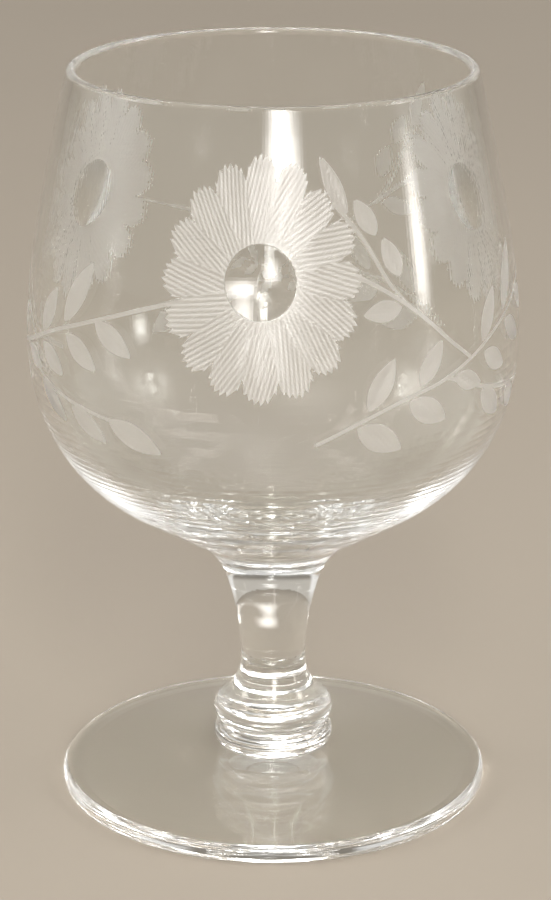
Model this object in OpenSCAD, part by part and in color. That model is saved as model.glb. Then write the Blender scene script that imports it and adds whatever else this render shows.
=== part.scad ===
// Footed cognac glass of clear glass: a blown balloon bowl, a short waisted stem, a collar
// of two rings and a disc foot, each a gather of its own, fused hot on flat round faces.
// Millimetres. The origin is the middle of the foot's underside, on the table, with +Z up.

/* [Bowl] */
// Height of the whole glass, table to lip
height = 118.8; // [114:0.2:124]
// Widest outside diameter of the bowl
belly_d = 77.6; // [74:0.2:82]
// Height of the widest place
belly_z = 75.7; // [73:0.1:78]
// Wall thickness from the belly up to the lip
wall = 1.6; // [1.2:0.1:2.2]
// Curve radius of the wall just below the belly
side_round = 36; // [33:0.5:40]
// Turn of the wall over that curve, in degrees
side_turn = 16.5; // [12:0.5:22]
// Curve radius where the side turns under
haunch_round = 28.8; // [26:0.2:30]
// Curve radius inside the wall there, smaller because the glass thickens downwards
inner_haunch_round = 25; // [23:0.5:26]
// Slope of the straight underside beside the stem, in degrees
base_slope = 31.2; // [28:0.2:34]
// Curve radius of the wall just above the belly
shoulder_round = 91; // [75:1:100]
// Turn of the wall over that curve, in degrees
shoulder_turn = 9.6; // [7:0.2:10]
// Curve radius of the wall from there to the lip
neck_round = 370; // [300:10:600]

/* [Lens cuts] */
// Number of polished lens cuts round the bowl
lens_count = 3; // [1:1:4]
// Height of the middle of a lens cut
lens_z = 94.2; // [90:0.2:98]
// Radius of the grinding wheel
wheel_round = 28; // [24:1:32]
// Curve radius across the wheel's rim
rim_round = 19; // [16:1:22]
// Depth of a lens cut into the wall
lens_depth = 0.85; // [0.3:0.05:1]

/* [Stem] */
// Diameter of the stem at its waist
waist_d = 10.5; // [9:0.1:12]
// Height of the waist
waist_z = 20.9; // [20:0.1:23]
// Curve radius of the stem above the waist
flare_round = 44; // [40:1:50]
// Turn of the stem over that curve, in degrees
flare_turn = 18.8; // [16:0.2:21]
// Height of the joint between the stem and the bowl
bowl_joint_z = 38.9; // [37.5:0.1:40]

/* [Collar] */
// Outside diameter of the two rings
ring_d = 19.4; // [17:0.1:21]
// Curve radius of each ring's edge
ring_round = 2.4; // [2.2:0.1:2.6]
// Height from the lower ring's middle to the upper ring's
ring_step = 4.4; // [4:0.1:4.8]
// Curve radius of the groove between the rings
groove_round = 0.8; // [0.5:0.1:1.2]
// Height of the joint between the collar and the stem
stem_joint_z = 16.7; // [16:0.1:19]

/* [Foot] */
// Diameter of the foot
foot_d = 69.6; // [66:0.2:74]
// Thickness of the foot's edge
edge_t = 2.9; // [2.6:0.1:3.6]
// Curve radius of the edge's upper corner
edge_top_round = 1.2; // [0.8:0.1:1.4]
// Curve radius of the edge's lower corner
edge_low_round = 0.9; // [0.5:0.1:1.1]
// Slope of the upper face, in degrees
foot_slope = 5.5; // [4.5:0.1:7]
// Inner diameter of the flat ring that the glass rests on
rest_d = 63; // [56:0.5:63]
// Height of the hollow in the middle of the underside
hollow_h = 1.2; // [0.5:0.1:2]

/* [Hidden] */

// Smoothness: the furthest that a drawn curve's chord lies from the true curve
chord_error = 0.01;
$fn = 128;

// Points on a curve of radius r about c, from angle a0 to a1
function ray(a) = [cos(a), sin(a)];
function steps(r, turn) = max(2, ceil(abs(turn) / (2 * acos(1 - chord_error / r))));
function curve(c, r, a0, a1) =
    let (n = steps(r, a1 - a0)) [for (i = [0 : n]) c + r * ray(a0 + (a1 - a0) * i / n)];
// Centre of the curve of radius r1 that carries on smoothly, at angle a, from radius r0 about c
function carry_on(c, r0, r1, a) = c + (r0 - r1) * ray(a);

// Bowl: curve centres, from the belly down and from the belly up
belly_r = belly_d / 2;
base_turn = 90 - base_slope;
side_c = [belly_r - side_round, belly_z];
haunch_c = carry_on(side_c, side_round, haunch_round, -side_turn);
shoulder_c = [belly_r - shoulder_round, belly_z];
neck_c = carry_on(shoulder_c, shoulder_round, neck_round, shoulder_turn);

// Lip: a full round that joins the outer wall to the inner one
lip_round = wall / 2;
lip_path = neck_round - lip_round;
lip_turn = asin((height - lip_round - neck_c.y) / lip_path);
lip_c = neck_c + lip_path * ray(lip_turn);

// Inner bottom: carries on from the haunch and is level at the axis
inner_side_round = side_round - wall;
inner_haunch_c = carry_on(side_c, inner_side_round, inner_haunch_round, -side_turn);
haunch_end = inner_haunch_c + inner_haunch_round * ray(-base_turn);
bottom_round = haunch_end.x / cos(base_turn);
bottom_c = [0, haunch_end.y + bottom_round * sin(base_turn)];

// Stem: the flare above the waist, then a hollow curve that lands on the bowl's underside
waist_r = waist_d / 2;
flare_c = [waist_r + flare_round, waist_z];
flare_end = flare_c + flare_round * ray(180 - flare_turn);
underside = haunch_c + haunch_round * ray(-base_turn);
landing = ray(180 - base_turn) - ray(180 - flare_turn);
blend_round = ((underside - flare_end) * ray(-base_turn)) / (landing * ray(-base_turn));
blend_c = carry_on(flare_c, flare_round, blend_round, 180 - flare_turn);
bowl_joint_turn = asin((bowl_joint_z - blend_c.y) / blend_round);

// Foot: the upper face runs from the edge's corner up to the collar
foot_r = foot_d / 2;
edge_top_c = [foot_r - edge_top_round, edge_t - edge_top_round];
edge_low_c = [foot_r - edge_low_round, edge_low_round];
face_start = edge_top_c + edge_top_round * ray(90 - foot_slope);
ring_r = ring_d / 2 - ring_round;
foot_top = face_start.y + (face_start.x - ring_r) * tan(foot_slope);
hollow_round = (pow(rest_d / 2, 2) + pow(hollow_h, 2)) / (2 * hollow_h);
hollow_turn = asin(rest_d / 2 / hollow_round);

// Collar: two equal rings, the groove between them and the hollow shoulder up to the waist
low_ring_c = [ring_r, foot_top + ring_round];
high_ring_c = low_ring_c + [0, ring_step];
groove_turn = asin(ring_step / 2 / (ring_round + groove_round));
groove_c = low_ring_c + (ring_round + groove_round) * ray(groove_turn);
shoulder_h = waist_z - high_ring_c.y;
waist_in = ring_r - waist_r;
tuck_round = (pow(shoulder_h, 2) + pow(waist_in, 2) - pow(ring_round, 2)) / (2 * (waist_in + ring_round));
tuck_c = [waist_r + tuck_round, waist_z];
tuck_turn = asin(shoulder_h / (tuck_round + ring_round));
stem_joint_turn = asin((waist_z - stem_joint_z) / tuck_round);

// Blown shell, open at the lip, thick at the base where the stem is fused on
module bowl_shell() {
    rotate_extrude()
        polygon(concat(
            [[0, bowl_joint_z]],
            curve(blend_c, blend_round, 180 - bowl_joint_turn, 180 - base_turn),
            curve(haunch_c, haunch_round, -base_turn, -side_turn),
            curve(side_c, side_round, -side_turn, 0),
            curve(shoulder_c, shoulder_round, 0, shoulder_turn),
            curve(neck_c, neck_round, shoulder_turn, lip_turn),
            curve(lip_c, lip_round, lip_turn, lip_turn + 180),
            curve(neck_c, neck_round - wall, lip_turn, shoulder_turn),
            curve(shoulder_c, shoulder_round - wall, shoulder_turn, 0),
            curve(side_c, inner_side_round, 0, -side_turn),
            curve(inner_haunch_c, inner_haunch_round, -side_turn, -base_turn),
            curve(bottom_c, bottom_round, -base_turn, -90)
        ));
}

// Wheels that grind the lens cuts, each leant square to the wall at the height of the cuts
module lens_wheels() {
    lens_turn = asin((lens_z - neck_c.y) / neck_round);
    wheel_c = neck_c + (neck_round + wheel_round - lens_depth) * ray(lens_turn);
    for (k = [0 : lens_count - 1])
        rotate(k * 360 / lens_count - 90)
            translate([wheel_c.x, 0, wheel_c.y])
                rotate([0, -lens_turn, 0])
                    wheel();
}

module wheel() {
    rotate_extrude()
        intersection() {
            translate([wheel_round - rim_round, 0])
                circle(rim_round);
            translate([0, -rim_round])
                square([wheel_round, 2 * rim_round]);
        }
}

module bowl() {
    color([0.86, 0.90, 0.88, 0.5])
        difference() {
            bowl_shell();
            lens_wheels();
        }
}

// Solid stem, waisted low down and flared to the bowl
module stem() {
    color([0.80, 0.88, 0.85, 0.5])
        rotate_extrude()
            polygon(concat(
                [[0, stem_joint_z]],
                curve(tuck_c, tuck_round, 180 + stem_joint_turn, 180),
                curve(flare_c, flare_round, 180, 180 - flare_turn),
                curve(blend_c, blend_round, 180 - flare_turn, 180 - bowl_joint_turn),
                [[0, bowl_joint_z]]
            ));
}

// Solid collar: two rings pinched apart by a groove, with a hollow shoulder under the stem
module collar() {
    color([0.88, 0.92, 0.90, 0.5])
        rotate_extrude()
            polygon(concat(
                [[0, foot_top]],
                curve(low_ring_c, ring_round, -90, groove_turn),
                curve(groove_c, groove_round, 180 + groove_turn, 180 - groove_turn),
                curve(high_ring_c, ring_round, -groove_turn, tuck_turn),
                curve(tuck_c, tuck_round, 180 + tuck_turn, 180 + stem_joint_turn),
                [[0, stem_joint_z]]
            ));
}

// Disc foot: a low cone on top, a rounded edge, and a shallow hollow inside the resting ring
module foot() {
    color([0.84, 0.90, 0.87, 0.5])
        rotate_extrude()
            polygon(concat(
                curve([0, hollow_h - hollow_round], hollow_round, 90, 90 - hollow_turn),
                curve(edge_low_c, edge_low_round, -90, 0),
                curve(edge_top_c, edge_top_round, 0, 90 - foot_slope),
                [[ring_r, foot_top], [0, foot_top]]
            ));
}

bowl();
stem();
collar();
foot();
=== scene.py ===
import math

import bpy
import numpy as np
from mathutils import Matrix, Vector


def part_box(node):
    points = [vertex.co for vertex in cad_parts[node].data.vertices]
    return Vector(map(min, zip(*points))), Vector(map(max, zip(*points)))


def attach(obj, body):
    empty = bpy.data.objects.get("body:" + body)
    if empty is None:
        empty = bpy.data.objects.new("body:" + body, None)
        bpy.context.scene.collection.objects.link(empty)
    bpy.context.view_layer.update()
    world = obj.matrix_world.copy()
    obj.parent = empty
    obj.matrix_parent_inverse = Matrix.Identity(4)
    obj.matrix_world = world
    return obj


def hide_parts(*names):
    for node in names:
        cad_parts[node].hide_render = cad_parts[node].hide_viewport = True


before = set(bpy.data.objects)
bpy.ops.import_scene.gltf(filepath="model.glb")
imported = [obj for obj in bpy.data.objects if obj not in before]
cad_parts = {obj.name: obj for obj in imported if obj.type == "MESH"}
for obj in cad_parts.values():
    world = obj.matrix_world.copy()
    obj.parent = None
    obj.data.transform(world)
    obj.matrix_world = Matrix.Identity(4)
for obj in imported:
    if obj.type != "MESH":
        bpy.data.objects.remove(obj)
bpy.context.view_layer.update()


# Foot: a disc of clear glass with a low cone on top and a rounded, fire-polished edge. It is spun
# out from a gather of its own, and the shallow hollow underneath leaves a flat ring to stand on.
# Sizes here and below are millimetres and degrees, in the same frame as the solids.
mm_per_m = 1000
foot_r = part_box("foot")[1].x * mm_per_m
foot_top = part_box("foot")[1].z * mm_per_m
edge_t = 2.9
edge_top_round = 1.2
edge_low_round = 0.9
foot_slope = 5.5
rest_r = 31.5
hollow_h = 1.2
ring_round = 2.4
ring_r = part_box("collar")[1].x * mm_per_m - ring_round
piece_columns = 240
glass_tint = (0.985, 0.996, 0.991)
glass_index = 1.52


def ray(angle):
    """The unit step (cos, sin) along an angle in degrees, in the plane of radius and height."""
    return np.array([math.cos(math.radians(angle)), math.sin(math.radians(angle))])


def arc(centre, radius, start, end, pitch=0.6, most_turn=6.0):
    """Points of a circle in the profile's plane: the centre plus radius times (cos a, sin a), with
    a going evenly from start to end, steps of at most pitch along it and most_turn round it."""
    turn = abs(end - start)
    count = math.ceil(max(math.radians(turn) * radius / pitch, turn / most_turn, 2))
    a = np.radians(np.linspace(start, end, count + 1))
    return np.asarray(centre) + radius * np.stack([np.cos(a), np.sin(a)], axis=1)


def line(start, end, pitch=1.0):
    """Even points of a straight line: start plus a share of the step to the end."""
    start, end = np.asarray(start, float), np.asarray(end, float)
    count = math.ceil(np.linalg.norm(end - start) / pitch)
    return start + np.linspace(0, 1, count + 1)[:, None] * (end - start)


def join(*curves, least_step=1e-6):
    """One profile from curves that meet end to end, with each shared point kept once."""
    points = np.concatenate(curves)
    apart = np.linalg.norm(np.diff(points, axis=0), axis=1) > least_step
    return points[np.concatenate([[True], apart])]


def revolve(profile, columns):
    """Rings of points round the axis: each profile point (r, z) gives (r sin t, -r cos t, z) at even
    angles t, so that t is 0 at -Y and grows towards +X."""
    t = np.arange(columns) * (2 * np.pi / columns)
    r, z = profile[:, :1], profile[:, 1:]
    return np.stack([r * np.sin(t), -r * np.cos(t), np.broadcast_to(z, (len(z), columns))], axis=2)


def skin(rings, low_z, high_z):
    """Closed skin over rings of equal count: a four-sided face between each two neighbours along and
    round, and a fan from each end ring to its point on the axis. Faces turn outwards."""
    rows, columns = rings.shape[:2]
    points = np.concatenate([rings.reshape(-1, 3), [[0, 0, low_z], [0, 0, high_z]]])
    j = np.arange(columns)
    k = (j + 1) % columns
    row = np.arange(rows - 1)[:, None] * columns
    sides = np.stack([row + j, row + k, row + columns + k, row + columns + j], axis=2).reshape(-1, 4)
    last = (rows - 1) * columns
    low_fan = np.stack([np.full(columns, rows * columns), k, j], axis=1)
    high_fan = np.stack([last + j, last + k, np.full(columns, rows * columns + 1)], axis=1)
    return points, low_fan.tolist() + sides.tolist() + high_fan.tolist()


def glass_piece(name, node, points, faces, finish, low_joint=0, high_joint=0):
    """A smooth mesh in metres that stands for a solid. The first low_joint and the last high_joint
    faces are flat joint faces, which take the fused finish because the glass is one there."""
    mesh = bpy.data.meshes.new(name)
    mesh.from_pydata((points / mm_per_m).tolist(), [], faces)
    flat = np.zeros(len(faces), bool)
    flat[:low_joint] = True
    flat[len(faces) - high_joint:] = True
    mesh.attributes.new("sharp_face", "BOOLEAN", "FACE").data.foreach_set("value", flat)
    mesh.materials.append(finish)
    mesh.materials.append(fused_joint)
    mesh.polygons.foreach_set("material_index", flat.astype(np.int32))
    mesh.update()
    piece = bpy.data.objects.new(name, mesh)
    bpy.context.scene.collection.objects.link(piece)
    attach(piece, "root")
    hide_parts(node)
    return piece


def new_finish(name):
    """A material with one Principled shader, its node tree and the shader."""
    finish = bpy.data.materials.new(name)
    finish.use_nodes = True
    shader = finish.node_tree.nodes["Principled BSDF"]
    return finish, finish.node_tree, shader


def add_node(tree, kind, settings=None, inputs=None):
    """A shader node with its settings, and its inputs set to values or linked to sockets."""
    made = tree.nodes.new(kind)
    for key, value in (settings or {}).items():
        setattr(made, key, value)
    for key, value in (inputs or {}).items():
        if isinstance(value, bpy.types.NodeSocket):
            tree.links.new(value, made.inputs[key])
        else:
            made.inputs[key].default_value = value
    return made


def hand_waves(tree, size_mm, height_mm):
    """Slow waves of a hand-worked glass surface: soft noise of size_mm across, as a bump."""
    place = add_node(tree, "ShaderNodeTexCoord")
    noise = add_node(tree, "ShaderNodeTexNoise", inputs={
        "Vector": place.outputs["Object"], "Scale": mm_per_m / size_mm, "Detail": 1.0, "Roughness": 0.4})
    return add_node(tree, "ShaderNodeBump", inputs={
        "Strength": 1.0, "Distance": height_mm / mm_per_m, "Height": noise.outputs["Fac"]})


def clear_glass(name, wave_mm, wave_height_mm):
    """Clear glass: full transmission at its refractive index, a faint tint and slow surface waves."""
    finish, tree, shader = new_finish(name)
    shader.inputs["Base Color"].default_value = (*glass_tint, 1)
    shader.inputs["Roughness"].default_value = 0.0
    shader.inputs["IOR"].default_value = glass_index
    shader.inputs["Transmission Weight"].default_value = 1.0
    waves = hand_waves(tree, wave_mm, wave_height_mm)
    tree.links.new(waves.outputs["Normal"], shader.inputs["Normal"])
    return finish


fused_joint, _, fused_shader = new_finish("fused joint")
fused_shader.inputs["Alpha"].default_value = 0.0
foot_glass = clear_glass("foot glass", wave_mm=16, wave_height_mm=0.02)

edge_top_c = np.array([foot_r - edge_top_round, edge_t - edge_top_round])
edge_low_c = np.array([foot_r - edge_low_round, edge_low_round])
hollow_round = (rest_r ** 2 + hollow_h ** 2) / (2 * hollow_h)
hollow_turn = math.degrees(math.asin(rest_r / hollow_round))
face_start = edge_top_c + edge_top_round * ray(90 - foot_slope)
foot_profile = join(
    arc((0, hollow_h - hollow_round), hollow_round, 90, 90 - hollow_turn, pitch=1.0)[1:],
    arc(edge_low_c, edge_low_round, -90, 0),
    arc(edge_top_c, edge_top_round, 0, 90 - foot_slope),
    line(face_start, (ring_r, foot_top)),
)
points, faces = skin(revolve(foot_profile, piece_columns), hollow_h, foot_top)
glass_piece("glass_foot", "foot", points, faces, foot_glass, high_joint=piece_columns)


# Collar: a solid knop of clear glass, two equal rings pinched apart by a groove with the jacks, and
# a hollow shoulder drawn in to the stem. It is fused hot to the top of the foot.
collar_joint_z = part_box("collar")[1].z * mm_per_m
ring_step = 4.4
groove_round = 0.8
waist_r = 5.25
waist_z = 20.9

low_ring_c = np.array([ring_r, foot_top + ring_round])
high_ring_c = low_ring_c + (0, ring_step)
groove_turn = math.degrees(math.asin(ring_step / 2 / (ring_round + groove_round)))
groove_c = low_ring_c + (ring_round + groove_round) * ray(groove_turn)
shoulder_h = waist_z - high_ring_c[1]
waist_in = ring_r - waist_r
tuck_round = (shoulder_h ** 2 + waist_in ** 2 - ring_round ** 2) / (2 * (waist_in + ring_round))
tuck_c = np.array([waist_r + tuck_round, waist_z])
tuck_turn = math.degrees(math.asin(shoulder_h / (tuck_round + ring_round)))
collar_joint_turn = math.degrees(math.asin((waist_z - collar_joint_z) / tuck_round))
collar_profile = join(
    arc(low_ring_c, ring_round, -90, groove_turn, pitch=0.2),
    arc(groove_c, groove_round, 180 + groove_turn, 180 - groove_turn, pitch=0.15),
    arc(high_ring_c, ring_round, -groove_turn, tuck_turn, pitch=0.2),
    arc(tuck_c, tuck_round, 180 + tuck_turn, 180 + collar_joint_turn, pitch=0.3),
)
collar_glass = clear_glass("collar glass", wave_mm=7, wave_height_mm=0.015)
points, faces = skin(revolve(collar_profile, piece_columns), foot_top, collar_joint_z)
glass_piece("glass_collar", "collar", points, faces, collar_glass, piece_columns, piece_columns)


# Stem: a short solid stem of clear glass, drawn to a waist low down and flared up to the bowl. It
# is pulled from a gather while hot, and fused to the collar below and to the bowl above.
bowl_joint_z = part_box("stem")[1].z * mm_per_m
flare_round = 44
flare_turn = 18.8
belly_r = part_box("bowl")[1].x * mm_per_m
belly_z = 75.7
side_round = 36
side_turn = 16.5
haunch_round = 28.8
base_turn = 58.8


def carry_on(centre, radius, next_radius, angle):
    """Centre of the circle that carries on smoothly from another at an angle: the old centre moved
    along that angle by the difference of the two radii."""
    return centre + (radius - next_radius) * ray(angle)


side_c = np.array([belly_r - side_round, belly_z])
haunch_c = carry_on(side_c, side_round, haunch_round, -side_turn)
underside = haunch_c + haunch_round * ray(-base_turn)
flare_c = np.array([waist_r + flare_round, waist_z])
flare_end = flare_c + flare_round * ray(180 - flare_turn)
landing = ray(180 - base_turn) - ray(180 - flare_turn)
blend_round = ((underside - flare_end) @ ray(-base_turn)) / (landing @ ray(-base_turn))
blend_c = carry_on(flare_c, flare_round, blend_round, 180 - flare_turn)
bowl_joint_turn = math.degrees(math.asin((bowl_joint_z - blend_c[1]) / blend_round))
stem_profile = join(
    arc(tuck_c, tuck_round, 180 + collar_joint_turn, 180, pitch=0.3),
    arc(flare_c, flare_round, 180, 180 - flare_turn, pitch=0.4),
    arc(blend_c, blend_round, 180 - flare_turn, 180 - bowl_joint_turn, pitch=0.3),
)
stem_glass = clear_glass("stem glass", wave_mm=9, wave_height_mm=0.015)
points, faces = skin(revolve(stem_profile, piece_columns), collar_joint_z, bowl_joint_z)
glass_piece("glass_stem", "stem", points, faces, stem_glass, piece_columns, piece_columns)


# Bowl: a balloon blown in clear glass, thick at its base and thin at the fire-polished lip. Three
# flowers and the leaf sprays between them are ground matt with small wheels, and each flower has a
# polished lens cut in its middle. Petals, leaves and lenses have their depth in the mesh.
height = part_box("bowl")[1].z * mm_per_m
wall = 1.6
inner_haunch_round = 25
shoulder_round = 91
shoulder_turn = 9.6
neck_round = 370
bowl_columns = 450
band_low = 64.0
band_high = 112.8
band_pitch = 0.5

shoulder_c = np.array([belly_r - shoulder_round, belly_z])
neck_c = carry_on(shoulder_c, shoulder_round, neck_round, shoulder_turn)
lip_round = wall / 2
lip_path = neck_round - lip_round
lip_turn = math.degrees(math.asin((height - lip_round - neck_c[1]) / lip_path))
lip_c = neck_c + lip_path * ray(lip_turn)
inner_side_round = side_round - wall
inner_haunch_c = carry_on(side_c, inner_side_round, inner_haunch_round, -side_turn)
haunch_end = inner_haunch_c + inner_haunch_round * ray(-base_turn)
bottom_round = haunch_end[0] / math.cos(math.radians(base_turn))
bottom_c = np.array([0, haunch_end[1] + bottom_round * math.sin(math.radians(base_turn))])
haunch_top = haunch_c[1] - haunch_round * math.sin(math.radians(side_turn))
shoulder_top = shoulder_c[1] + shoulder_round * math.sin(math.radians(shoulder_turn))


def outer_wall(z):
    """Radius and outward normal of the outer wall at heights z: on the haunch, side, shoulder or
    neck circle, whichever holds there, r is its centre's plus sqrt(R^2 - (z - centre)^2)."""
    where = [z < haunch_top, z < belly_z, z < shoulder_top]
    centre_r = np.select(where, [haunch_c[0], side_c[0], shoulder_c[0]], neck_c[0])
    centre_z = np.select(where, [haunch_c[1], side_c[1], shoulder_c[1]], neck_c[1])
    radius = np.select(where, [haunch_round, side_round, shoulder_round], neck_round)
    r = centre_r + np.sqrt(radius ** 2 - (z - centre_z) ** 2)
    return r, (r - centre_r) / radius, (z - centre_z) / radius


# The flowers: a lens cut ringed by petals, each a little uneven by hand
flower_count = 3
flower_half_w = 14.8
flower_half_h = 17.6
lens_z = 94.2
lens_depth = 0.85
wheel_round = 28
rim_round = 19
petal_count = 16
petal_length = 16.0
petal_reach = 16.1
petal_half_w = 2.5
petal_depth = 0.1
petal_slope_w = 1.2
tip_drop = 1.5
tip_lean = 0.9
uneven_reach = 0.3
uneven_width = 0.12
cut_margin = 0.5
rim_snap = 0.27
least_share = 0.1
arc_r = float(outer_wall(np.array(lens_z))[0])
lens_lean = math.asin((lens_z - neck_c[1]) / neck_round)
lens_half_w = math.sqrt(2 * lens_depth / (math.cos(lens_lean) / arc_r + 1 / wheel_round))
lens_half_h = math.sqrt(2 * lens_depth / (1 / neck_round + 1 / rim_round))


def across_flower(azimuth, z):
    """Millimetres right of and above the middle of the nearest flower, along the wall."""
    step = 2 * np.pi / flower_count
    near = (azimuth + step / 2) % step - step / 2
    return arc_r * near, z - lens_z


def lens_rim(u, v):
    """How far out of the lens cut: the root of (u / half width)^2 + (v / half height)^2, and that
    less one, times the distance from the middle, so nothing on the rim and less inside it."""
    share = np.sqrt((u / lens_half_w) ** 2 + (v / lens_half_h) ** 2)
    return share, (share - 1) * np.hypot(u, v)


def petal_place(u, v, which=None):
    """Place along and across a petal, and which petal it is: the flower's oval is drawn out to a
    circle, then turned by the petal's share of the circle. The first petal points straight down."""
    x, y = u * petal_length / flower_half_w, v * petal_length / flower_half_h
    share = 2 * np.pi / petal_count
    turn = np.arctan2(x, -y)
    if which is None:
        which = np.round(turn / share)
    off = turn - which * share
    return np.hypot(x, y) * np.cos(off), np.hypot(x, y) * np.sin(off), which


def petals(u, v, draw):
    """Distances inside a petal's sides and inside its tip: the sides are half a width from its middle
    line, and the tip is its reach less tip_drop (across / half width)^2, each uneven by a draw. The
    distance to the tip is shortened by tip_lean, because the tip is crossed at a slant."""
    along, across, which = petal_place(u, v)
    which = which.astype(int) % petal_count
    reach = petal_reach + draw.uniform(-uneven_reach, uneven_reach, petal_count)[which]
    half = petal_half_w + draw.uniform(-uneven_width, uneven_width, petal_count)[which]
    tip = reach - tip_drop * (np.abs(across) / petal_half_w) ** 2
    return half - np.abs(across), tip_lean * (tip - along)


# The sprays: stalks and leaves, in degrees round from the flower on their left and in heights. A
# leaf runs from its stalk to its tip, and its last number is half its width.
stalk_half_w = 0.4
stalk_reach = 0.9
stalk_near = 1.0
leaf_depth = 0.2
far_off = 3.0
stalks = [
    [(13.5, 70.1), (23, 73), (33, 75.4), (43, 77), (53, 79.3), (63, 82), (73, 84.4), (83, 86.8),
     (93, 89.1), (101, 90.8)],
    [(53, 79.3), (46, 82.9), (40, 86.5), (34, 89.7), (28, 92.4), (22, 94.6)],
    [(34, 89.7), (30, 93.1), (26, 97.7), (22.5, 101.3), (18, 104.7)],
    [(45, 77.4), (52, 75.4), (60, 73.6), (70, 72.1), (83, 71)],
]
leaves = [
    (21.5, 72, 33, 67.4, 2.2), (34, 75, 45, 70.8, 2.1), (47, 77.2, 57, 74.7, 1.6),
    (58, 79.4, 68, 75.6, 1.8), (69, 82.5, 80, 78.1, 1.9), (79, 85.8, 90, 81.4, 1.9),
    (24, 74.3, 30.5, 82.1, 1.8), (37, 76.9, 43.5, 83.5, 1.7), (57.5, 81, 64, 88.9, 1.8),
    (68, 84.1, 77, 94.4, 1.9), (33, 89.4, 23, 88.8, 1.7), (33, 93.8, 29, 99.9, 1.6),
    (27.6, 100.1, 22.4, 105.7, 1.6), (57, 73.5, 67.5, 68, 1.9), (70.5, 71.4, 81.5, 66.9, 1.9),
    (83, 71, 97, 67, 2.2), (20.6, 103.2, 14.3, 112.2, 1.4),
]


def leaf(u, v, start, end, half_width):
    """One leaf from its stalk to its tip: half_width sin(pi t^0.9)^0.8 at the share t of its length,
    so a little fuller near the stalk. Gives the distance inside it, and the place along and across."""
    step = np.subtract(end, start)
    length = np.hypot(*step)
    along = ((u - start[0]) * step[0] + (v - start[1]) * step[1]) / length
    across = ((v - start[1]) * step[0] - (u - start[0]) * step[1]) / length
    t = np.clip(along / length, 0, 1)
    full = half_width * np.sin(np.pi * t ** 0.9) ** 0.8
    beyond = np.maximum(-along, along - length)
    return np.minimum(full - np.abs(across), -beyond), along, across


def bend(path, count=8):
    """A smooth path through points: between each two a cubic in count steps, whose slope at a point
    is half the step between that point's neighbours."""
    p = np.asarray(path, float)
    p = np.concatenate([[2 * p[0] - p[1]], p, [2 * p[-1] - p[-2]]])
    t = np.linspace(0, 1, count + 1)[:-1, None]
    parts = []
    for a, b, c, d in zip(p[:-3], p[1:-2], p[2:-1], p[3:]):
        bulge = a - 2.5 * b + 2 * c - d / 2
        twist = 1.5 * (b - c) + (d - a) / 2
        parts.append(b + t * (c - a) / 2 + t ** 2 * bulge + t ** 3 * twist)
    return np.concatenate(parts + [p[-2:-1]])


def stalk_lines(u, v, paths):
    """Engraved lines along paths of points, at the corners of faces: each face takes the straight step
    nearest to its middle, and its corners the distances to one side of that step. Gives the distance
    of each middle as well. Faces past stalk_reach from every step are put far off."""
    middle_u, middle_v = u.mean(axis=2), v.mean(axis=2)
    gap = np.full(middle_u.shape, np.inf)
    aside = np.full(u.shape, np.inf)
    for start, end in [step for path in paths for step in zip(path[:-1], path[1:])]:
        length = np.hypot(*(end - start))
        ahead = (end - start) / length
        along = np.clip((middle_u - start[0]) * ahead[0] + (middle_v - start[1]) * ahead[1], 0, length)
        here = np.hypot(middle_u - start[0] - along * ahead[0], middle_v - start[1] - along * ahead[1])
        nearer = here < gap
        gap = np.where(nearer, here, gap)
        aside = np.where(nearer[:, :, None], (v - start[1]) * ahead[0] - (u - start[0]) * ahead[1], aside)
    return gap, np.where(gap[:, :, None] < stalk_reach, aside, far_off)


def corners(field):
    """A field's values at the four corners of each face of the band, in the order of the faces."""
    after = np.roll(field, -1, axis=1)
    return np.stack([field[:-1], after[:-1], after[1:], field[1:]], axis=2)


# The engraved band of the wall: a grid of azimuths and heights, drawn on to the rims of the lenses
z = np.linspace(band_low, band_high, math.ceil((band_high - band_low) / band_pitch) + 1)
azimuth = np.arange(bowl_columns) * (2 * np.pi / bowl_columns)
azimuth, z = np.meshgrid(azimuth, z)
u, v = across_flower(azimuth, z)
share, out = lens_rim(u, v)
snap = np.where(np.abs(out) < rim_snap, 1 / np.maximum(share, least_share) - 1, 0)
azimuth = azimuth + u * snap / arc_r
z = z + v * snap
u, v = across_flower(azimuth, z)
share, out = lens_rim(u, v)

side_edge, tip_edge = petals(u, v, np.random.default_rng(7))
petal_edge = np.minimum(side_edge, out)
inside = np.minimum(petal_edge, tip_edge)
petal_cut = petal_depth * np.clip((inside - cut_margin) / petal_slope_w, 0, 1)
depth = np.where(share < 1, lens_depth * (1 - share ** 2), petal_cut)
corner_u, corner_v = corners(u), corners(v)
_, _, petal_here = petal_place(corner_u.mean(axis=2), corner_v.mean(axis=2))
along, across, _ = petal_place(corner_u, corner_v, petal_here[:, :, None])
nearest = corners(inside).mean(axis=2)

degree = np.radians(1) * arc_r
spray_u = (azimuth % (2 * np.pi / flower_count)) * arc_r
spray_v = z - lens_z
leaf_edge = np.full(np.shape(z), -far_off)
for a0, z0, a1, z1, half in leaves:
    edge, leaf_along, leaf_across = leaf(
        spray_u, spray_v, (a0 * degree, z0 - lens_z), (a1 * degree, z1 - lens_z), half)
    leaf_edge = np.maximum(leaf_edge, edge)
    depth = np.maximum(depth, leaf_depth * np.clip((edge - cut_margin) / half, 0, 1))
    here = corners(edge).mean(axis=2)
    nearer = here > nearest
    nearest = np.where(nearer, here, nearest)
    along = np.where(nearer[:, :, None], corners(leaf_along), along)
    across = np.where(nearer[:, :, None], corners(leaf_across), across)
paths = [bend([(a * degree, h - lens_z) for a, h in path]) for path in stalks]
stalk_gap, stalk_aside = stalk_lines(corners(spray_u), corners(spray_v), paths)
on_stalk = (stalk_half_w - stalk_gap > nearest) & (stalk_gap < stalk_near)
along = np.where(on_stalk[:, :, None], 0.0, along)
across = np.where(on_stalk[:, :, None], 0.0, across)

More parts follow.
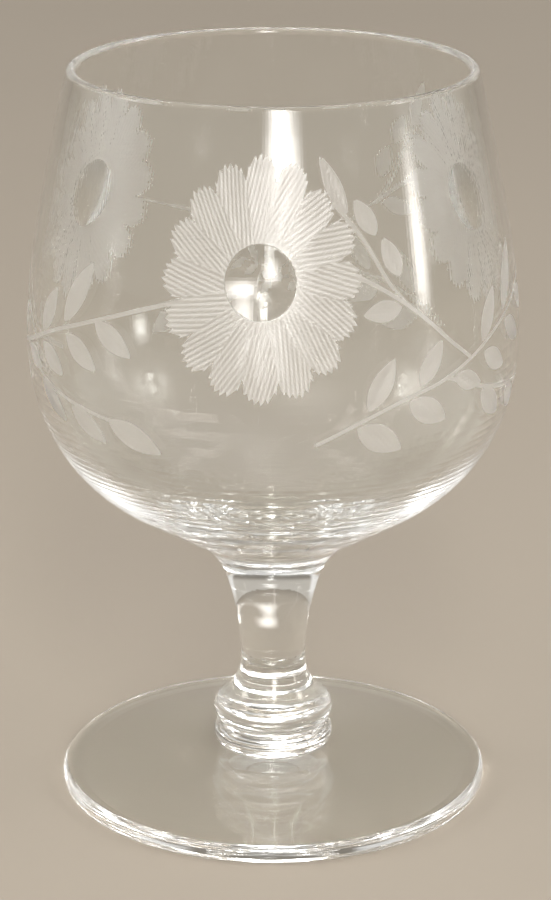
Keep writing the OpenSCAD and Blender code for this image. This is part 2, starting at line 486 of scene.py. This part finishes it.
r, out_r, out_z = outer_wall(z)
r, cut_z = r - depth * out_r, z - depth * out_z
band = np.stack([r * np.sin(azimuth), -r * np.cos(azimuth), cut_z], axis=2)

haunch_low = -math.degrees(math.asin((haunch_c[1] - band_low) / haunch_round))
neck_high = math.degrees(math.asin((band_high - neck_c[1]) / neck_round))
below_band = join(
    arc(blend_c, blend_round, 180 - bowl_joint_turn, 180 - base_turn, pitch=0.8, most_turn=4),
    line(blend_c + blend_round * ray(180 - base_turn), underside, pitch=0.8),
    arc(haunch_c, haunch_round, -base_turn, haunch_low, pitch=0.7),
)[:-1]
above_band = join(
    arc(neck_c, neck_round, neck_high, lip_turn, pitch=1.6),
    arc(lip_c, lip_round, lip_turn, lip_turn + 180, most_turn=20),
    arc(neck_c, neck_round - wall, lip_turn, shoulder_turn, pitch=3.6),
    arc(shoulder_c, shoulder_round - wall, shoulder_turn, 0, pitch=2.0),
    arc(side_c, inner_side_round, 0, -side_turn, pitch=1.6),
    arc(inner_haunch_c, inner_haunch_round, -side_turn, -base_turn, pitch=1.15),
    arc(bottom_c, bottom_round, -base_turn, -90, pitch=1.8),
)[1:-1]
rings = np.concatenate([revolve(below_band, bowl_columns), band, revolve(above_band, bowl_columns)])
points, faces = skin(rings, bowl_joint_z, bottom_c[1] - bottom_round)


def maths(tree, operation, first, second=0.0, third=0.0):
    """One sum in a node tree, of values or sockets."""
    sums = {0: first, 1: second, 2: third}
    return add_node(tree, "ShaderNodeMath", {"operation": operation}, sums).outputs[0]


def fade(tree, value, start, end, low=0.0, high=1.0, kind="SMOOTHSTEP"):
    """A change from low to high while a value goes from start to end: eased at both ends, or even
    where kind is LINEAR."""
    return add_node(tree, "ShaderNodeMapRange", {"interpolation_type": kind}, {
        "Value": value, "From Min": start, "From Max": end, "To Min": low, "To Max": high}).outputs["Result"]


def colour_mix(tree, share, first, second):
    """A colour that goes from the first to the second with a share, each a colour or a socket."""
    mix = add_node(tree, "ShaderNodeMix", {"data_type": "RGBA"}, {"Factor": share, 6: first, 7: second})
    return mix.outputs[2]


# The ground finish: matt inside petals, leaves and stalks, which the mesh carries as distances in
# millimetres, with the strokes of the wheel along each petal and teeth where they end at its tip
tooth_pitch = 1.0
tooth_slant = 0.3
tooth_height = 1.5
matt_start = -0.08
matt_full = 0.14
matt_colour = (0.89, 0.885, 0.87)
matt_roughness = 0.3
grain_per_m = 2600.0
cloud_per_m = 420.0
fine_share = 0.4
grain_share = 1.6
cut_bump_mm = 0.014
spray_smooth = 0.7
spray_dim = 0.3
comb_most = 1.3
least_white = 0.08
most_white = 0.48
cloud_white = 0.16
bowl_glass, tree, shader = new_finish("engraved bowl glass")


def carried(name):
    """The value of an attribute that the mesh carries."""
    return add_node(tree, "ShaderNodeAttribute", {"attribute_name": name}).outputs["Fac"]


def strokes(pitch_mm, slant):
    """Fine parallel strokes of the wheel: a sine over the place across a petal or leaf, turned by a
    slant in degrees from the petal's own direction."""
    per_mm = 2 * math.pi / pitch_mm
    part = maths(tree, "MULTIPLY", along_mm, math.sin(math.radians(slant)) * per_mm)
    whole = maths(tree, "MULTIPLY_ADD", across_mm, math.cos(math.radians(slant)) * per_mm, part)
    return maths(tree, "SINE", whole)


along_mm = carried("along_mm")
across_mm = carried("across_mm")
tooth_place = maths(tree, "MULTIPLY_ADD", along_mm, tooth_slant, across_mm)
tooth_turn = maths(tree, "FRACT", maths(tree, "DIVIDE", tooth_place, tooth_pitch))
tooth = maths(tree, "ABSOLUTE", maths(tree, "SUBTRACT", tooth_turn, 0.5))
tooth = maths(tree, "SUBTRACT", tooth, 0.25)
toothed_tip = maths(tree, "MULTIPLY_ADD", tooth, tooth_height, carried("tip_mm"))
petal_in = maths(tree, "MINIMUM", carried("petal_mm"), toothed_tip)
stalk_in = maths(tree, "SUBTRACT", stalk_half_w, maths(tree, "ABSOLUTE", carried("stalk_mm")))
spray_in = maths(tree, "MAXIMUM", carried("leaf_mm"), stalk_in)
ground_in = maths(tree, "MAXIMUM", petal_in, spray_in)
on_spray = maths(tree, "GREATER_THAN", spray_in, petal_in)
matt = fade(tree, ground_in, matt_start, matt_full)

grain_place = add_node(tree, "ShaderNodeTexCoord").outputs["Object"]
grain = add_node(tree, "ShaderNodeTexNoise", inputs={
    "Vector": grain_place, "Scale": grain_per_m, "Detail": 2.0}).outputs["Fac"]
cloud = add_node(tree, "ShaderNodeTexNoise", inputs={
    "Vector": grain_place, "Scale": cloud_per_m, "Detail": 2.0}).outputs["Fac"]
fine_strokes = strokes(pitch_mm=0.47, slant=-28)
broad_strokes = strokes(pitch_mm=0.68, slant=17)
comb = maths(tree, "MULTIPLY_ADD", fine_strokes, fine_share, broad_strokes)
smoother_spray = maths(tree, "MULTIPLY_ADD", on_spray, -spray_smooth, 1.0)
comb = maths(tree, "MULTIPLY", comb, smoother_spray)
rough_cut = maths(tree, "MULTIPLY_ADD", grain, grain_share, comb)
waves = hand_waves(tree, size_mm=22, height_mm=0.02)
cut_bump = add_node(tree, "ShaderNodeBump", inputs={
    "Strength": 0.6, "Distance": cut_bump_mm / mm_per_m,
    "Height": maths(tree, "MULTIPLY", rough_cut, matt), "Normal": waves.outputs["Normal"]})
tree.links.new(cut_bump.outputs["Normal"], shader.inputs["Normal"])

dense = fade(tree, comb, -comb_most, comb_most, least_white, most_white, kind="LINEAR")
patchy = maths(tree, "MULTIPLY_ADD", cloud, cloud_white, -cloud_white / 2)
dimmer_spray = maths(tree, "MULTIPLY_ADD", on_spray, -spray_dim, 1.0)
white_share = maths(tree, "MULTIPLY", maths(tree, "ADD", dense, patchy), matt)
white_share = maths(tree, "MULTIPLY", white_share, dimmer_spray)
tree.links.new(maths(tree, "SUBTRACT", 1.0, white_share), shader.inputs["Transmission Weight"])
tree.links.new(maths(tree, "MULTIPLY", matt, matt_roughness), shader.inputs["Roughness"])
bowl_colour = colour_mix(tree, matt, (*glass_tint, 1), (*matt_colour, 1))
tree.links.new(bowl_colour, shader.inputs["Base Color"])
shader.inputs["IOR"].default_value = glass_index

bowl = glass_piece("glass_bowl", "bowl", points, faces, bowl_glass, low_joint=bowl_columns)
below, above = len(below_band) * bowl_columns, len(above_band) * bowl_columns
for name, values in (("petal_mm", petal_edge), ("tip_mm", tip_edge), ("leaf_mm", leaf_edge)):
    whole = np.concatenate([np.full(below, -far_off), values.ravel(), np.full(above + 2, -far_off)])
    bowl.data.attributes.new(name, "FLOAT", "POINT").data.foreach_set("value", whole.astype(np.float32))
fan_corners = 3 * bowl_columns
for name, values in (("along_mm", along), ("across_mm", across), ("stalk_mm", stalk_aside)):
    before = np.full(fan_corners + 4 * below, far_off)
    after = np.full(4 * above + fan_corners, far_off)
    whole = np.concatenate([before, values.ravel(), after])
    bowl.data.attributes.new(name, "FLOAT", "CORNER").data.foreach_set("value", whole.astype(np.float32))


# Floor: a plain pale top that the glass stands on, a hair below the foot so that the two never share
# a plane, and wide enough to fill the view behind it.
floor_colour = np.array([0.42, 0.37, 0.31])
mottle_share = 0.03
floor_half = 30.0
floor_z = -0.0001
floor_points = [(x * floor_half, y * floor_half, floor_z) for x, y in ((-1, -1), (1, -1), (1, 1), (-1, 1))]
floor_mesh = bpy.data.meshes.new("floor")
floor_mesh.from_pydata(floor_points, [], [(0, 1, 2, 3)])
floor_finish, tree, shader = new_finish("floor")
shader.inputs["Roughness"].default_value = 0.8
shader.inputs["Specular IOR Level"].default_value = 0.1
floor_place = add_node(tree, "ShaderNodeTexCoord").outputs["Object"]
mottle = add_node(tree, "ShaderNodeTexNoise", inputs={
    "Vector": floor_place, "Scale": 4.0, "Detail": 3.0}).outputs["Fac"]
darker = floor_colour * (1 - mottle_share)
paler = floor_colour * (1 + mottle_share)
mottled = colour_mix(tree, mottle, (*darker, 1), (*paler, 1))
tree.links.new(mottled, shader.inputs["Base Color"])
floor_mesh.materials.append(floor_finish)
floor = bpy.data.objects.new("floor", floor_mesh)
bpy.context.scene.collection.objects.link(floor)


# Light: a plain room, brightest at its sides and dimmer in front, behind and overhead, with the
# floor's own tone at the horizon. Six soft lamps stand round the glass: two strips in front for the
# streaks down bowl and stem, a narrow window at the right, one on each side and one above.
horizon_tone = (0.50, 0.465, 0.415)
dim_tone = (0.20, 0.18, 0.155)
bright_tone = (0.95, 0.94, 0.92)
lamp_colour = (1, 0.98, 0.95)
bowl_middle = np.array([0, 0, 0.09])
view_turn = 2.75

world = bpy.data.worlds.new("room")
bpy.context.scene.world = world
world.use_nodes = True
tree = world.node_tree
room = tree.nodes["Background"]
way = add_node(tree, "ShaderNodeTexCoord")
aim = add_node(tree, "ShaderNodeSeparateXYZ", inputs={"Vector": way.outputs["Generated"]})
aim_x, aim_y, aim_z = aim.outputs

dim_behind = fade(tree, aim_y, 0.1, 0.9, high=0.5)
beside = fade(tree, maths(tree, "ABSOLUTE", aim_x), 0.5, 0.85, high=0.75)
beside = maths(tree, "MULTIPLY", beside, fade(tree, aim_y, -0.35, 0.0))
lifted = maths(tree, "ADD", maths(tree, "SUBTRACT", aim_z, dim_behind), beside)
climb = maths(tree, "MULTIPLY", fade(tree, lifted, 0.05, 0.5), fade(tree, aim_z, -0.02, 0.12))
climb = maths(tree, "MULTIPLY", climb, fade(tree, aim_y, -0.75, -0.15, low=0.4))
climb = maths(tree, "MULTIPLY", climb, fade(tree, aim_z, 0.55, 0.9, low=1.0, high=0.7))
above_horizon = fade(tree, aim_z, 0.16, 0.36)
low_tone = colour_mix(tree, above_horizon, (*horizon_tone, 1), (*dim_tone, 1))
tree.links.new(colour_mix(tree, climb, low_tone, (*bright_tone, 1)), room.inputs["Color"])


def softbox(name, azimuth, elevation, distance, width, tall, power):
    """A soft lamp at an azimuth from the front and an elevation, facing the bowl. Its light fades to
    its edges as (x (1 - x) y (1 - y))^2, times 900, which keeps its power."""
    lamp = bpy.data.lights.new(name, "AREA")
    lamp.shape = "RECTANGLE"
    lamp.size, lamp.size_y = width, tall
    lamp.energy = power
    lamp.color = lamp_colour
    lamp.use_nodes = True
    tree = lamp.node_tree
    place = add_node(tree, "ShaderNodeTexCoord")
    there = add_node(tree, "ShaderNodeSeparateXYZ", inputs={"Vector": place.outputs["UV"]})
    fade_x = maths(tree, "MULTIPLY", there.outputs["X"], maths(tree, "SUBTRACT", 1.0, there.outputs["X"]))
    fade_y = maths(tree, "MULTIPLY", there.outputs["Y"], maths(tree, "SUBTRACT", 1.0, there.outputs["Y"]))
    soft = maths(tree, "POWER", maths(tree, "MULTIPLY", fade_x, fade_y), 2.0)
    tree.links.new(maths(tree, "MULTIPLY", soft, 900.0), tree.nodes["Emission"].inputs["Strength"])
    holder = bpy.data.objects.new(name, lamp)
    a, e = math.radians(azimuth), math.radians(elevation)
    away = np.array([math.sin(a) * math.cos(e), -math.cos(a) * math.cos(e), math.sin(e)])
    holder.location = away * distance + bowl_middle
    holder.rotation_euler = (math.pi / 2 - e, 0, a)
    bpy.context.scene.collection.objects.link(holder)


softbox("front strip", view_turn + 5, 9.8, distance=1.2, width=0.5, tall=0.4, power=3.8)
softbox("tall strip", view_turn + 4, 33.0, distance=1.2, width=0.32, tall=1.25, power=7.0)
softbox("right window", view_turn + 73, 2.5, distance=1.1, width=0.2, tall=0.34, power=0.6)
softbox("left light", -88, 30, distance=1.2, width=0.5, tall=0.5, power=2.4)
softbox("right light", 86, 34, distance=1.2, width=0.5, tall=0.5, power=2.4)
softbox("top light", -30, 62, distance=1.3, width=1.0, tall=1.0, power=0.8)


# Camera: a long lens that looks a little down, with the flower in front just left of the middle.
# Light is followed through many walls of glass, because each one bends and mirrors it.
camera_back = 0.4476
camera_up = 0.2076
camera_side = 0.00038
camera_pitch = 18.68
camera_data = bpy.data.cameras.new("camera")
camera_data.lens = 117.8
camera_data.clip_start = 0.01
camera = bpy.data.objects.new("camera", camera_data)
turn = math.radians(view_turn)
camera.location = (
    camera_back * math.sin(turn) + camera_side * math.cos(turn),
    -camera_back * math.cos(turn) + camera_side * math.sin(turn),
    camera_up,
)
camera.rotation_euler = (math.radians(90 - camera_pitch), 0, turn)
bpy.context.scene.collection.objects.link(camera)
bpy.context.scene.camera = camera
bpy.context.scene.view_settings.view_transform = "Standard"
cycles = bpy.context.scene.cycles
cycles.caustics_refractive = True
cycles.caustics_reflective = True
cycles.sample_clamp_indirect = 0.0
cycles.blur_glossy = 0.0
cycles.max_bounces = 64
cycles.transmission_bounces = 64
cycles.glossy_bounces = 64
cycles.transparent_max_bounces = 32
